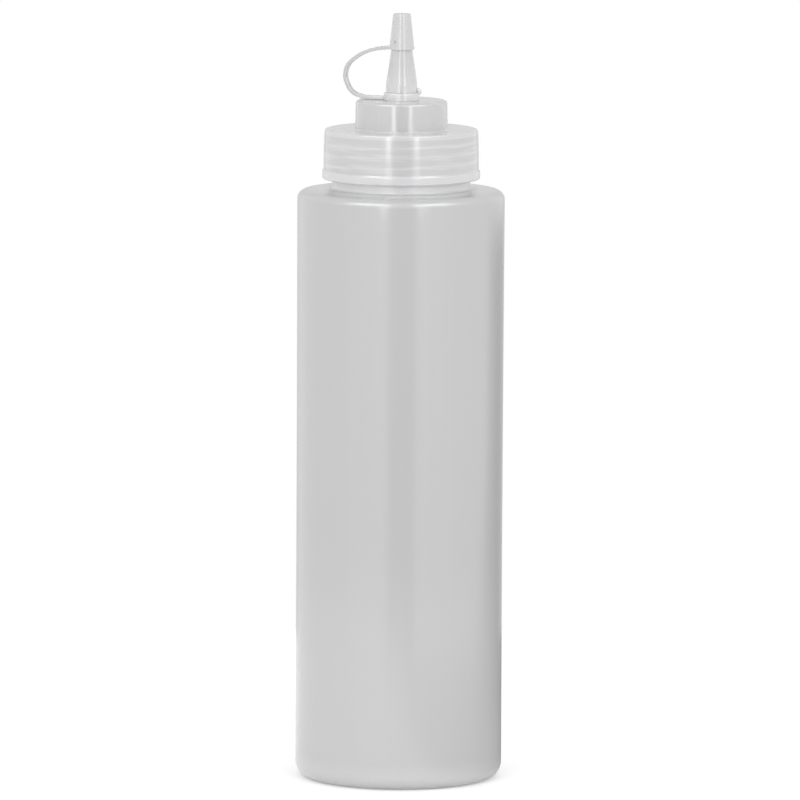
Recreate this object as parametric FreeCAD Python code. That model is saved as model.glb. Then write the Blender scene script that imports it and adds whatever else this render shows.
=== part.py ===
"""Squeeze bottle: a blown bottle, its screw cap with a nozzle, and a tip cap tethered to the nozzle.

Millimetres, +Z up. The origin is the middle of the base, on the surface that the bottle stands on.
The nozzle's axis is the Z axis, and the tether loops out towards -X.
"""
import FreeCAD, Part
import math
import os

Vector = FreeCAD.Vector
ORIGIN = Vector(0, 0, 0)
Y_AXIS = Vector(0, 1, 0)
Z_AXIS = Vector(0, 0, 1)

# Bottle, blown in one piece
BODY_RADIUS = 35.0
BODY_WALL = 1.0
BASE_CORNER = 5.2
STANDING_RADIUS = 26.0      # inner edge of the ring that touches the surface
STANDING_EDGE = 2.0
PUSH_UP_RADIUS = 20.0       # flat middle of the dished base
PUSH_UP_EDGE = 5.0
PUSH_UP = 1.6
SHOULDER_HEIGHT = 199.4     # where the body's side and the shoulder would meet in a sharp corner
SHOULDER_CORNER = 3.0
SHOULDER_RISE = 0.7         # the shoulder slopes up this much towards the neck
NECK_RADIUS = 23.3
NECK_WALL = 1.7
NECK_FILLET = 1.0           # where the neck rises from the shoulder
RIM_HEIGHT = 218.6          # top of the neck, which the cap seals on

# Thread: one ridge on the neck and one in the cap, half a pitch apart
PITCH = 3.4
TURNS = 3.0
THREAD_START = 205.0
RIDGE_DEPTH = 1.0
RIDGE_ROOT = 1.6
RIDGE_CREST = 0.7
RIDGE_SUNK = 0.4            # how far a ridge reaches into the wall that carries it

# Screw cap: skirt, tier and nozzle, moulded in one piece
MOULDED_EDGE = 0.4          # rounding on the edges that have no size of their own below
SKIRT_BOTTOM = 203.5
SKIRT_TOP = 220.2
SKIRT_BORE = 24.7
SKIRT_RADIUS_TOP = 25.8
SKIRT_RADIUS_LOW = 26.15
SKIRT_EDGE = 1.2
LIP_RADIUS = 26.6
LIP_HEIGHT = 2.6
LIP_EDGE = 0.9
LIP_RUN_IN = 1.0            # height over which the skirt widens to its lip
TIER_RADIUS_LOW = 15.6
TIER_RADIUS_TOP = 15.4
TIER_TOP = 229.9
TIER_EDGE = 1.1
CAP_WALL = 1.3
NOZZLE_WALL = 1.0
NOZZLE_FOOT_RADIUS = 5.3
NOZZLE_WAIST_RADIUS = 5.25
NOZZLE_WAIST_HEIGHT = 235.4  # the foot is nearly straight up to here, and a cone above
NOZZLE_WAIST_EASE = 6.0
NOZZLE_TIP_RADIUS = 1.95
NOZZLE_TIP_HEIGHT = 257.7
SPOUT_RADIUS = 1.1

# Tip cap, with its tether and the ring that holds it to the nozzle's foot
CAP_TOP = 259.1
CAP_RIM = 247.0
CAP_RADIUS_TOP = 2.95
CAP_RADIUS_RIM = 4.15
CAP_EDGE = 0.45
CAP_BEAD = 0.12             # how far the bead round the rim stands out
CAP_BEAD_HEIGHT = 0.6
CAP_BEAD_RUN_IN = 0.3
CAP_CLEARANCE = 0.12
FINE_EDGE = 0.15
DIMPLE_TURN = 34.0          # gate mark on the cap, this many degrees left of the front
DIMPLE_HEIGHT = 249.7
DIMPLE_RADIUS = 0.55
DIMPLE_DEPTH = 0.25
TETHER_TURN = 15.0          # the loop's plane, turned about Z from -X towards +Y
TETHER_THICKNESS = 1.2
TETHER_WIDTH = 2.6
TETHER_ROUTE = [            # out from the axis, and height: from the cap's rim round to the ring
    (3.6, 247.62), (9.2, 247.15), (14.6, 245.1), (18.9, 241.5),
    (19.85, 237.2), (17.6, 232.3), (13.6, 230.6), (5.7, 230.6)]
BEND_SHARE = 0.45           # each bend takes this share of the shorter run beside it
RING_BORE = 5.42
RING_RADIUS = 6.0
RING_HEIGHT = 2.6
LUG_RADIUS = 1.15           # small round lug on the ring, opposite the strap
LUG_WIDTH = 2.4
LUG_OUT = 5.6
LUG_RISE = 2.9              # from the top of the tier to the lug's middle


def rounded_edges(corners, closed):
    """Edges in the XZ plane through corners (x, z, radius), with a tangent arc at each corner."""
    points = [Vector(x, 0, z) for x, z, radius in corners]
    rounded = []
    for i, (x, z, radius) in enumerate(corners):
        corner = points[i]
        if radius == 0:
            rounded.append((corner, corner, None))
            continue
        back = (points[i - 1] - corner).normalize()
        ahead = (points[(i + 1) % len(points)] - corner).normalize()
        half_angle = back.getAngle(ahead) / 2
        inward = (back + ahead).normalize()
        centre = corner + inward * (radius / math.sin(half_angle))
        first = corner + back * (radius / math.tan(half_angle))
        last = corner + ahead * (radius / math.tan(half_angle))
        arc = Part.Arc(first, centre - inward * radius, last).toShape()
        rounded.append((first, last, arc))
    edges = []
    for i, (first, last, arc) in enumerate(rounded):
        if arc:
            edges.append(arc)
        if i + 1 < len(rounded) or closed:
            following = rounded[(i + 1) % len(rounded)][0]
            edges.append(Part.LineSegment(last, following).toShape())
    return edges


def turned(corners):
    """Solid of revolution about Z, from its closed outline of corners (radius, height, rounding)."""
    outline = Part.Wire(rounded_edges(corners, closed=True))
    return Part.Face(outline).revolve(ORIGIN, Z_AXIS, 360)


def ridge(wall_radius, start_height, direction):
    """One helical thread ridge on a wall, standing out from the axis (1) or in towards it (-1)."""
    root = wall_radius - direction * RIDGE_SUNK
    crest = wall_radius + direction * RIDGE_DEPTH
    section = Part.makePolygon([
        Vector(root, 0, -RIDGE_ROOT / 2), Vector(crest, 0, -RIDGE_CREST / 2),
        Vector(crest, 0, RIDGE_CREST / 2), Vector(root, 0, RIDGE_ROOT / 2),
        Vector(root, 0, -RIDGE_ROOT / 2)])
    helix = Part.Wire(Part.makeHelix(PITCH, PITCH * TURNS, wall_radius).Edges)
    solid = helix.makePipeShell([section], True, True)
    solid.translate(Vector(0, 0, start_height))
    return solid


def bottle():
    """One wall from the dished base up to the threaded neck."""
    inner = BODY_RADIUS - BODY_WALL
    bore = NECK_RADIUS - NECK_WALL
    neck_foot = SHOULDER_HEIGHT + SHOULDER_RISE
    wall = turned([
        (0, PUSH_UP, 0),
        (PUSH_UP_RADIUS, PUSH_UP, PUSH_UP_EDGE),
        (STANDING_RADIUS, 0, STANDING_EDGE),
        (BODY_RADIUS, 0, BASE_CORNER),
        (BODY_RADIUS, SHOULDER_HEIGHT, SHOULDER_CORNER),
        (NECK_RADIUS, neck_foot, NECK_FILLET),
        (NECK_RADIUS, RIM_HEIGHT, MOULDED_EDGE),
        (bore, RIM_HEIGHT, MOULDED_EDGE),
        (bore, neck_foot - BODY_WALL, NECK_FILLET + BODY_WALL),
        (inner, SHOULDER_HEIGHT - BODY_WALL, SHOULDER_CORNER - BODY_WALL),
        (inner, BODY_WALL, BASE_CORNER - BODY_WALL),
        (STANDING_RADIUS, BODY_WALL, STANDING_EDGE),
        (PUSH_UP_RADIUS, PUSH_UP + BODY_WALL, PUSH_UP_EDGE),
        (0, PUSH_UP + BODY_WALL, 0)])
    return wall.fuse(ridge(NECK_RADIUS, THREAD_START, 1))


def screw_cap():
    """Threaded skirt, the smaller tier over it and the hollow nozzle."""
    wall = turned([
        (SKIRT_BORE, SKIRT_BOTTOM, FINE_EDGE),
        (LIP_RADIUS, SKIRT_BOTTOM, LIP_EDGE),
        (LIP_RADIUS, SKIRT_BOTTOM + LIP_HEIGHT, MOULDED_EDGE),
        (SKIRT_RADIUS_LOW, SKIRT_BOTTOM + LIP_HEIGHT + LIP_RUN_IN, MOULDED_EDGE),
        (SKIRT_RADIUS_TOP, SKIRT_TOP, SKIRT_EDGE),
        (TIER_RADIUS_LOW, SKIRT_TOP, MOULDED_EDGE),
        (TIER_RADIUS_TOP, TIER_TOP, TIER_EDGE),
        (NOZZLE_FOOT_RADIUS, TIER_TOP, 0),
        (NOZZLE_WAIST_RADIUS, NOZZLE_WAIST_HEIGHT, NOZZLE_WAIST_EASE),
        (NOZZLE_TIP_RADIUS, NOZZLE_TIP_HEIGHT, FINE_EDGE),
        (SPOUT_RADIUS, NOZZLE_TIP_HEIGHT, 0),
        (NOZZLE_WAIST_RADIUS - NOZZLE_WALL, NOZZLE_WAIST_HEIGHT, NOZZLE_WAIST_EASE),
        (NOZZLE_FOOT_RADIUS - NOZZLE_WALL, TIER_TOP - CAP_WALL, MOULDED_EDGE),
        (TIER_RADIUS_TOP - CAP_WALL, TIER_TOP - CAP_WALL, MOULDED_EDGE),
        (TIER_RADIUS_LOW - CAP_WALL, RIM_HEIGHT, MOULDED_EDGE),
        (SKIRT_BORE, RIM_HEIGHT, 0)])
    return wall.fuse(ridge(SKIRT_BORE, THREAD_START + PITCH / 2, -1))


def strap():
    """Flat strap bent in one plane, from the tip cap's rim round to the ring."""
    points = [Vector(-out, 0, height) for out, height in TETHER_ROUTE]
    corners = []
    for i, point in enumerate(points):
        radius = 0
        if 0 < i < len(points) - 1:
            back = points[i - 1] - point
            ahead = points[i + 1] - point
            half_turn = (math.pi - back.getAngle(ahead)) / 2
            radius = BEND_SHARE * min(back.Length, ahead.Length) / math.tan(half_turn)
        corners.append((point.x, point.z, radius))
    path = Part.Wire(rounded_edges(corners, closed=False))
    along = (points[1] - points[0]).normalize()
    half_thickness = along.cross(Y_AXIS) * (TETHER_THICKNESS / 2)
    half_width = Y_AXIS * (TETHER_WIDTH / 2)
    section = Part.makePolygon([
        points[0] + half_thickness + half_width, points[0] + half_thickness - half_width,
        points[0] - half_thickness - half_width, points[0] - half_thickness + half_width,
        points[0] + half_thickness + half_width])
    solid = path.makePipe(Part.Face(section))
    solid.rotate(ORIGIN, Z_AXIS, -TETHER_TURN)
    return solid


def ring_lug():
    """Short round bar across the ring, with softened ends."""
    middle = Vector(LUG_OUT, -LUG_WIDTH / 2, TIER_TOP + LUG_RISE)
    bar = Part.makeCylinder(LUG_RADIUS, LUG_WIDTH, middle, Y_AXIS)
    return bar.makeFillet(MOULDED_EDGE, [edge for edge in bar.Edges if edge.isClosed()])


def dimple():
    """Tool that sinks the small round gate mark into the tip cap's side."""
    wall_slope = (CAP_RADIUS_RIM - CAP_RADIUS_TOP) / (CAP_TOP - CAP_RIM)
    wall_radius = CAP_RADIUS_RIM - wall_slope * (DIMPLE_HEIGHT - CAP_RIM)
    bottom = Vector(0, DIMPLE_DEPTH - wall_radius, DIMPLE_HEIGHT)
    tool = Part.makeCylinder(DIMPLE_RADIUS, CAP_RADIUS_RIM, bottom, -Y_AXIS)
    tool.rotate(ORIGIN, Z_AXIS, -DIMPLE_TURN)
    return tool


def tip_cap():
    """Cap over the nozzle's tip, in one piece with its tether and the ring round the nozzle."""
    nozzle_slope = ((NOZZLE_WAIST_RADIUS - NOZZLE_TIP_RADIUS)
                    / (NOZZLE_TIP_HEIGHT - NOZZLE_WAIST_HEIGHT))
    bore_top = NOZZLE_TIP_RADIUS + CAP_CLEARANCE
    bore_rim = bore_top + nozzle_slope * (NOZZLE_TIP_HEIGHT - CAP_RIM)
    bead_radius = CAP_RADIUS_RIM + CAP_BEAD
    cap = turned([
        (0, CAP_TOP, 0),
        (CAP_RADIUS_TOP, CAP_TOP, CAP_EDGE),
        (CAP_RADIUS_RIM, CAP_RIM + CAP_BEAD_HEIGHT + CAP_BEAD_RUN_IN, 0),
        (bead_radius, CAP_RIM + CAP_BEAD_HEIGHT, 0),
        (bead_radius, CAP_RIM, FINE_EDGE),
        (bore_rim, CAP_RIM, FINE_EDGE),
        (bore_top, NOZZLE_TIP_HEIGHT, 0),
        (0, NOZZLE_TIP_HEIGHT, 0)])
    ring = turned([
        (RING_BORE, TIER_TOP, 0),
        (RING_RADIUS, TIER_TOP, FINE_EDGE),
        (RING_RADIUS, TIER_TOP + RING_HEIGHT, FINE_EDGE),
        (RING_BORE, TIER_TOP + RING_HEIGHT, 0)])
    cap_room = Part.makeCone(
        bore_rim, bore_top, NOZZLE_TIP_HEIGHT - CAP_RIM, Vector(0, 0, CAP_RIM), Z_AXIS)
    ring_room = Part.makeCylinder(RING_BORE, 3 * RING_HEIGHT, Vector(0, 0, TIER_TOP - RING_HEIGHT))
    held = strap().fuse(ring_lug()).cut([cap_room, ring_room])
    return cap.fuse([ring, held]).cut(dimple())


NODES = {"bottle": bottle, "screw_cap": screw_cap, "tip_cap": tip_cap}

os.makedirs("parts", exist_ok=True)
for node, make in NODES.items():
    shape = make().removeSplitter()
    if len(shape.Solids) != 1 or not shape.isValid():
        raise ValueError(node + " isn't one valid solid")
    solid = shape.Solids[0]
    solid.exportStep("parts/" + node + ".step")
    print(node, round(solid.Volume / 1000, 2), "cm3, top at", round(solid.BoundBox.ZMax, 2), "mm")
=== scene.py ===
"""Squeeze bottle: looks for the blown bottle, its screw cap with a nozzle, and the tethered tip cap.

Metres, +Z up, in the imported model's own frame. The bottle stands on Z = 0, and the camera looks
along +Y.
"""

import math

import bmesh
import bpy
from bpy.props import FloatProperty, FloatVectorProperty, IntProperty, PointerProperty
from mathutils import Euler, Matrix, Vector


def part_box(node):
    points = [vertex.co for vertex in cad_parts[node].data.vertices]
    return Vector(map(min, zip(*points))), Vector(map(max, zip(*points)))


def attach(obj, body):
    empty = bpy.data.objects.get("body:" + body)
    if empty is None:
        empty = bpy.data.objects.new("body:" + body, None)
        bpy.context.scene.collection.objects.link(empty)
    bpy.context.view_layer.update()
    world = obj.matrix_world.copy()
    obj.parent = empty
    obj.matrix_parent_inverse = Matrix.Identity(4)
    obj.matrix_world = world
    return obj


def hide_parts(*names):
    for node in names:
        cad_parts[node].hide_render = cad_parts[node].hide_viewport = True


bl_info = {
    "name": "Squeeze Bottle",
    "version": (1, 0, 0),
    "blender": (4, 5, 0),
    "location": "3D View > Sidebar > Squeeze Bottle",
    "description": "Builds a translucent squeeze bottle with a screw cap and a tethered tip cap",
    "category": "Add Mesh",
}

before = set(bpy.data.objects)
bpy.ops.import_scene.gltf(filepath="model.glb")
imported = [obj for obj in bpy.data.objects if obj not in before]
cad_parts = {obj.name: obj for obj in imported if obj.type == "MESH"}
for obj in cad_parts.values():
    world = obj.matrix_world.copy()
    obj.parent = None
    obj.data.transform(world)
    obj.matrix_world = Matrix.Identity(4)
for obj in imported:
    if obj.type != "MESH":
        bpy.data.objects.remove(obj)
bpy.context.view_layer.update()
BOTTLE_LOW, BOTTLE_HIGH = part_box("bottle")
SCREW_CAP_LOW, SCREW_CAP_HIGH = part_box("screw_cap")
TIP_CAP_LOW, TIP_CAP_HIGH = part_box("tip_cap")

BODY = "root"
MM = 0.001

ARC_STEP = math.radians(9)      # longest turn between two points of an arc
SHARP_ANGLE = math.radians(35)  # edges that turn more than this stay crisp
MERGE_DISTANCE = 0.001 * MM
WALL_TOLERANCE = 0.02 * MM      # how closely a point has to lie on a wall to count as its own
MOULDED_EDGE = 0.4 * MM         # rounding on the edges that have no size of their own
FINE_EDGE = 0.15 * MM
BAR_SEGMENTS = 48

# Bottle: dished base, and the rounding where the neck rises
BASE_CORNER = 5.2 * MM
STANDING_RADIUS = 26.0 * MM
STANDING_EDGE = 2.0 * MM
PUSH_UP_RADIUS = 20.0 * MM
PUSH_UP_EDGE = 5.0 * MM
PUSH_UP = 1.6 * MM
SHOULDER_RISE = 0.7 * MM
NECK_FILLET = 1.0 * MM
WAIST_ROWS = 24

# Screw cap: skirt with a lip, tier, and the nozzle's foot
SKIRT_EDGE = 0.8 * MM
SKIRT_WIDENING = 0.35 * MM      # from the skirt's top down to its lip
SKIRT_CROWN = 0.35 * MM         # half way up, so that the upper half leans in more
SKIRT_CROWN_EASE = 150 * MM
LIP_HEIGHT = 2.6 * MM
LIP_EDGE = 0.5 * MM
LIP_RUN_IN = 0.6 * MM
TIER_DRAFT = 0.2 * MM
TIER_EDGE = 1.1 * MM
NOZZLE_FOOT_DRAFT = 0.05 * MM
NOZZLE_WAIST_EASE = 6.0 * MM
SPOUT_RADIUS = 1.1 * MM

# Threads: one ridge on the neck and one in the cap, half a pitch apart
THREAD_ROW = 0.12 * MM          # height between the rows of points that carry a ridge
THREAD_FADE = 0.08              # turns over which a ridge runs out at each end

# Tip cap: bead, gate mark, strap, ring and lug
CAP_EDGE = 0.45 * MM
CAP_BEAD = 0.12 * MM
CAP_BEAD_HEIGHT = 0.6 * MM
CAP_BEAD_RUN_IN = 0.3 * MM
CAP_CLEARANCE = 0.12 * MM
DIMPLE_TURN = math.radians(34)
DIMPLE_HEIGHT = 249.7 * MM
DIMPLE_RADIUS = 0.55 * MM
DIMPLE_DEPTH = 0.25 * MM
RING_BORE = 5.42 * MM
RING_RADIUS = 6.0 * MM
RING_HEIGHT = 2.6 * MM
RING_EDGE = 0.5 * MM
LUG_RADIUS = 1.15 * MM
LUG_WIDTH = 2.4 * MM
LUG_EDGE = 0.8 * MM
LUG_OUT = 5.6 * MM
LUG_RISE = 2.9 * MM
CUTTER_LENGTH = 3 * RING_HEIGHT     # of the bar that clears the ring's bore out of the lug
STRAP_EDGE_STEPS = 3
BEND_SHARE = 0.45
TETHER_ROUTE = [                # mm out from the axis, and height: from the cap's rim round to the ring
    (3.8, 247.6), (9.2, 247.15), (14.6, 245.1), (18.9, 241.5),
    (19.85, 237.2), (17.6, 232.3), (13.6, 230.6), (5.7, 230.6)]

# Patterns in the plastic
WAVE_LENGTH = 45 * MM           # slow unevenness of a blown wall
WAVE_HEIGHT = 0.05 * MM
GRAIN_LENGTH = 0.7 * MM         # satin grain, drawn about twice as coarse as the mould's to show
GRAIN_HEIGHT = 0.0015 * MM
GRAIN_HAZE = 0.04               # how much the grain changes the roughness, up and down
STREAK_WIDTH = 3.0 * MM         # streaks that the tube of plastic keeps from its extrusion
STREAK_STRETCH = 0.02           # width of an upright streak over its height
STREAK_TONES = (0.985, 1.015)   # darkest and palest, as shares of the wall's colour
SEAM_WIDTH = 0.35 * MM          # line where the mould's halves met
SEAM_HEIGHT = 0.04 * MM
FLOW_LENGTH = 9 * MM            # soft flow marks of a moulded wall
FLOW_HEIGHT = 0.008 * MM
FLOW_HAZE = 0.03
RIDGE_STREAK = 0.9 * MM         # level streaks that break up the milky line of a ridge, which is partly painted light
RIDGE_STREAK_STRETCH = 0.08
RIDGE_UNEVENNESS = 1.2
RIDGE_MILKY_AND_PAINTED_LIGHT = (0.45, -0.1)      # half turns off a ridge's middle at which it is clear, and fully milky; the line is thicker wall and partly painted light of the lit thread seen through the skirt
RIDGE_END = 0.2                 # turns over which the milky, partly painted-light line runs out, each side of a ridge's end
SHOULDER_PAINTED_LIGHT_SHORT = 1.0 * MM     # how far inside the body's radius the shoulder stops being paler; the paler neck and shoulder top are partly thicker wall and partly painted light over the shade under the cap's lip
LOW_WALL_PAINTED_LIGHT = [                    # painted light: heights between which the blown wall is painted paler towards the base, and how much
    (85 * MM, 45 * MM, 0.13),
    (14 * MM, 3 * MM, 0.3)]
CORNER_HIGHLIGHT_DEPTH = 1.4 * MM         # painted highlight: the paler band where the skirt meets its thick top, on its rounded edge
CORNER_HIGHLIGHT_FADE = 0.35 * MM
NOZZLE_PAINTED_LIGHT_FADE = 10 * MM           # above the ring, over which the nozzle's painted light, a paler foot as if lit from inside, fades to clear
RING_PAINTED_LIGHT_FADE = 12 * MM             # over which the strap takes its own colour; nearer the ring it is painted paler, painted light over its shade on the tier
LDPE_IOR = 1.51

# Nodes that are used often
MATH = "ShaderNodeMath"
VECTOR_MATH = "ShaderNodeVectorMath"
SEPARATE = "ShaderNodeSeparateXYZ"
MAP_RANGE = "ShaderNodeMapRange"
MIX = "ShaderNodeMix"
NOISE = "ShaderNodeTexNoise"
MIX_A, MIX_B = 6, 7             # places of a colour Mix node's two inputs
SMOOTH = {"interpolation_type": "SMOOTHSTEP"}

# Stage: angles in degrees to the right of the camera, seen from the bottle
GAPS = [                        # middle, half width, edge and level of each dark gap that gloss shows
    (1.75, 15.25, 2.0, 0.0),
    (180.0, 28.0, 6.0, 0.72)]
GAP_TOP = math.sin(math.radians(4.5))   # direction's height up to which a gap is at its darkest
GAP_LEVEL_ABOVE = 0.65          # a gap's level from twice that height on
TOP_LIGHT_LOW = math.sin(math.radians(30))      # soft light high up, on both sides of the camera
TOP_LIGHT_HIGH = math.sin(math.radians(60))
TOP_LIGHT_EDGE = 0.03
TOP_LIGHT_END = 82.0
TOP_LIGHT_END_EDGE = 20.0
STRIPS = [(-18.5, 0.7), (23.0, 0.55)]   # where each lamp stands, and its share of the brightness
STRIP_DISTANCE = 1.5
STRIP_WIDTH = 0.18
STRIP_LOW = 0.13
STRIP_HEIGHT = 1.0
FLAG_COLOUR = "#707070"         # graded dark flag at the right rear, which only gloss shows; its wide foot is painted shade, standing in for the bottle's own shadow on the floor
FLAG_TURN = 125.0
FLAG_DISTANCE = 0.15
FLAG_WIDTH = 0.40
FLAG_HEIGHT = 0.19
FLAG_FOOT = 0.6                 # share of its height up to which it narrows
FLAG_NEAR = (-0.150, -0.075)    # how far off its middle it starts to darken, at its foot and higher up
FLAG_DARKEST = (-0.060, -0.030)
FLAG_FAR = 0.105                # how far off its middle it has faded out, on the other side
FLAG_TOP = 0.85                 # share of its height at which its top starts to fade
FLOOR_SEGMENTS = 96
FLOOR_LIFT = 0.27               # glow that lifts the board to white
FLOOR_SHADE = 0.25              # painted shadow: share of its brightness that shows in the plastic on the right, in place of the bottle's own shadow there
FLOOR_SHADE_START = 0.02
FLOOR_SHADE_END = 0.05


def linear(hex_colour):
    """Linear RGB of an sRGB hex colour."""
    channels = [int(hex_colour[i:i + 2], 16) / 255 for i in (1, 3, 5)]
    return [c / 12.92 if c <= 0.04045 else ((c + 0.055) / 1.055) ** 2.4 for c in channels]


def length(name, description, default):
    """A size in metres."""
    return FloatProperty(
        name=name, description=description, default=default, min=0.0, unit="LENGTH", precision=5)


def colour(name, description, default):
    """A colour, from its sRGB hex value."""
    return FloatVectorProperty(
        name=name, description=description, default=linear(default), size=3, min=0.0, max=1.0,
        subtype="COLOR")


def share(name, description, default):
    """A value from 0 to 1."""
    return FloatProperty(
        name=name, description=description, default=default, min=0.0, max=1.0, subtype="FACTOR")


def angle(name, description, degrees):
    """An angle, from its degrees."""
    return FloatProperty(name=name, description=description, default=math.radians(degrees), subtype="ANGLE")


def faces(default):
    """The number of faces round a turned piece."""
    return IntProperty(name="Segments", description="Faces round the axis", default=default, min=24)


class ThreadSettings(bpy.types.PropertyGroup):
    """The thread that the neck and the screw cap share."""
    pitch: length("Pitch", "Height of one turn", 3.4 * MM)
    turns: FloatProperty(name="Turns", description="Length of the ridge in turns", default=3.0, min=0.5)
    start: length("Start", "Height at which the neck's ridge starts", 205.0 * MM)
    depth: length("Depth", "How far a ridge stands out from its wall", 1.0 * MM)
    root: length("Root", "Width of a ridge at its wall", 1.6 * MM)
    crest: length("Crest", "Width of a ridge at its top", 0.7 * MM)


class BottleSettings(bpy.types.PropertyGroup):
    """Sizes and finish of the blown bottle."""
    body_radius: length("Body radius", "Outer radius of the body", -BOTTLE_LOW.x)
    wall: length("Wall", "Thickness of the body's wall", 1.0 * MM)
    waist: length("Waist", "How far the sides draw in at mid-height", 0.14 * MM)
    shoulder_height: length("Shoulder", "Height of the shoulder's corner", 199.4 * MM)
    shoulder_corner: length("Corner", "Rounding of the shoulder's corner", 3.0 * MM)
    neck_radius: length("Neck radius", "Outer radius of the neck", 23.3 * MM)
    neck_wall: length("Neck wall", "Thickness of the neck's wall", 1.7 * MM)
    rim_height: length("Rim height", "Height of the neck's rim", BOTTLE_HIGH.z)
    segments: faces(192)
    colour: colour("Colour", "Colour where the wall is thin", "#D0D0D1")
    # paler neck and shoulder top (partly thicker wall, partly painted light) and painted light towards the
    # base
    thick_and_painted_light_colour: colour("Thick colour", "Colour where the wall is thick", "#F6F6F7")
    roughness: share("Roughness", "Haze inside the plastic", 0.35)
    polish: share("Polish", "Roughness of the satin surface", 0.16)
    coat: share("Coat", "Strength of the surface's own gloss", 0.8)
    clarity: share("Clarity", "Share of light that passes through", 0.15)


class ScrewCapSettings(bpy.types.PropertyGroup):
    """Sizes and finish of the screw cap and its nozzle."""
    lip_radius: length("Lip radius", "Outer radius of the skirt's lip", -SCREW_CAP_LOW.x)
    skirt_radius: length("Skirt radius", "Outer radius at the skirt's top", 25.8 * MM)
    skirt_bore: length("Skirt bore", "Inner radius of the skirt", 24.7 * MM)
    skirt_bottom: length("Skirt bottom", "Height of the lip's lower edge", SCREW_CAP_LOW.z)
    skirt_top: length("Skirt top", "Height of the skirt's top", 220.2 * MM)
    tier_radius: length("Tier radius", "Outer radius at the tier's top", 15.4 * MM)
    tier_top: length("Tier top", "Height of the tier's top", TIP_CAP_LOW.z)
    wall: length("Wall", "Thickness of the tier's wall", 1.3 * MM)
    foot_radius: length("Nozzle foot", "Radius of the nozzle's foot", 5.3 * MM)
    waist_height: length("Nozzle waist", "Height where the nozzle's cone starts", 235.4 * MM)
    tip_radius: length("Nozzle tip", "Radius of the nozzle's tip", 1.95 * MM)
    nozzle_wall: length("Nozzle wall", "Thickness of the nozzle's wall", 1.0 * MM)
    nozzle_top: length("Nozzle top", "Height of the nozzle's tip", SCREW_CAP_HIGH.z)
    segments: faces(192)
    colour: colour("Colour", "Colour where the wall is thin", "#E6E6E7")
    # milky thick wall and painted light: the lip, the thread's ridge, the skirt's top edge and the nozzle's
    # foot
    thick_and_painted_light_colour: colour("Thick colour", "Colour where the wall is thick", "#F4F4F5")
    roughness: share("Roughness", "Haze inside the plastic", 0.22)
    polish: share("Polish", "Roughness of the polished surface", 0.14)
    coat: share("Coat", "Strength of the surface's own gloss", 0.8)
    clarity: share("Clarity", "Share of light that passes through", 0.3)


class TipCapSettings(bpy.types.PropertyGroup):
    """Sizes and finish of the tip cap, its tether and its ring."""
    top: length("Top", "Height of the cap's top", TIP_CAP_HIGH.z)
    rim: length("Rim", "Height of the cap's rim", 247.0 * MM)
    radius_top: length("Top radius", "Outer radius at the cap's top", 2.95 * MM)
    radius_rim: length("Rim radius", "Outer radius above the cap's bead", 4.15 * MM)
    strap_thickness: length("Strap thickness", "Thickness of the tether's strap", 1.2 * MM)
    strap_width: length("Strap width", "Width of the tether's strap", 2.6 * MM)
    turn: angle("Turn", "Turn of the tether's loop, from -X towards +Y", 15)
    segments: faces(96)
    colour: colour("Colour", "Colour of the cap", "#DFDFE0")
    strap_colour: colour("Strap colour", "Colour of the tether's thin strap", "#D4D4D5")
    # milky ring and lug, and painted light that fades from them along the strap
    thick_and_painted_light_colour: colour("Ring colour", "Colour of the ring and the lug", "#F2F2F3")
    roughness: share("Roughness", "Haze inside the plastic", 0.25)
    polish: share("Polish", "Roughness of the polished surface", 0.15)
    coat: share("Coat", "Strength of the surface's own gloss", 0.8)
    clarity: share("Clarity", "Share of light that passes through", 0.2)


class StageSettings(bpy.types.PropertyGroup):
    """Camera, lamps, surround and floor."""
    camera_distance: length("Camera distance", "From the bottle's axis", 3.099)
    camera_height: length("Camera height", "Above the floor", 0.518)
    camera_lens: FloatProperty(
        name="Lens", description="Focal length", default=416.1, min=1.0, unit="CAMERA")
    camera_tilt: angle("Tilt", "How far the camera looks down", 7.169)
    camera_roll: angle("Roll", "Turn of the camera about its view", 0.299)
    surround: share("Surround", "Brightness of the surround as diffuse light", 0.9)
    top_brightness: FloatProperty(
        name="Top brightness", description="1 is white paper", default=5.0, min=0.0)
    strip_brightness: FloatProperty(
        name="Strip brightness", description="1 is white paper", default=7.0, min=0.0)
    floor_radius: length("Floor radius", "Radius of the round floor", 0.33)
    floor_colour: colour("Floor colour", "Colour of the floor", "#F2F2F2")


class SqueezeBottleSettings(bpy.types.PropertyGroup):
    """Everything that the operators read."""
    thread: PointerProperty(type=ThreadSettings)
    bottle: PointerProperty(type=BottleSettings)
    screw_cap: PointerProperty(type=ScrewCapSettings)
    tip_cap: PointerProperty(type=TipCapSettings)
    stage: PointerProperty(type=StageSettings)


# Nodes and trees

def add_node(tree, kind, inputs=None, **settings):
    """Adds a node with its settings. An input is a value, a socket, or a node, which gives its first
    output in use."""
    added = tree.nodes.new(kind)
    for name, value in settings.items():
        setattr(added, name, value)
    for key, value in (inputs or {}).items():
        if isinstance(value, bpy.types.Node):
            value = next(output for output in value.outputs if output.enabled)
        if isinstance(value, bpy.types.NodeSocket):
            tree.links.new(value, added.inputs[key])
        else:
            added.inputs[key].default_value = value
    return added


def new_tree(name, sizes, sockets):
    """Geometry Nodes tree that takes and gives a geometry, with the named sizes and other inputs."""
    tree = bpy.data.node_groups.new(name, "GeometryNodeTree")
    tree.interface.new_socket("Geometry", in_out="OUTPUT", socket_type="NodeSocketGeometry")
    tree.interface.new_socket("Geometry", in_out="INPUT", socket_type="NodeSocketGeometry")
    for socket, kind in {**dict.fromkeys(sizes, "Float"), **sockets, "Material": "Material"}.items():
        tree.interface.new_socket(socket, in_out="INPUT", socket_type="NodeSocket" + kind)
    return tree, add_node(tree, "NodeGroupInput").outputs


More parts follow.
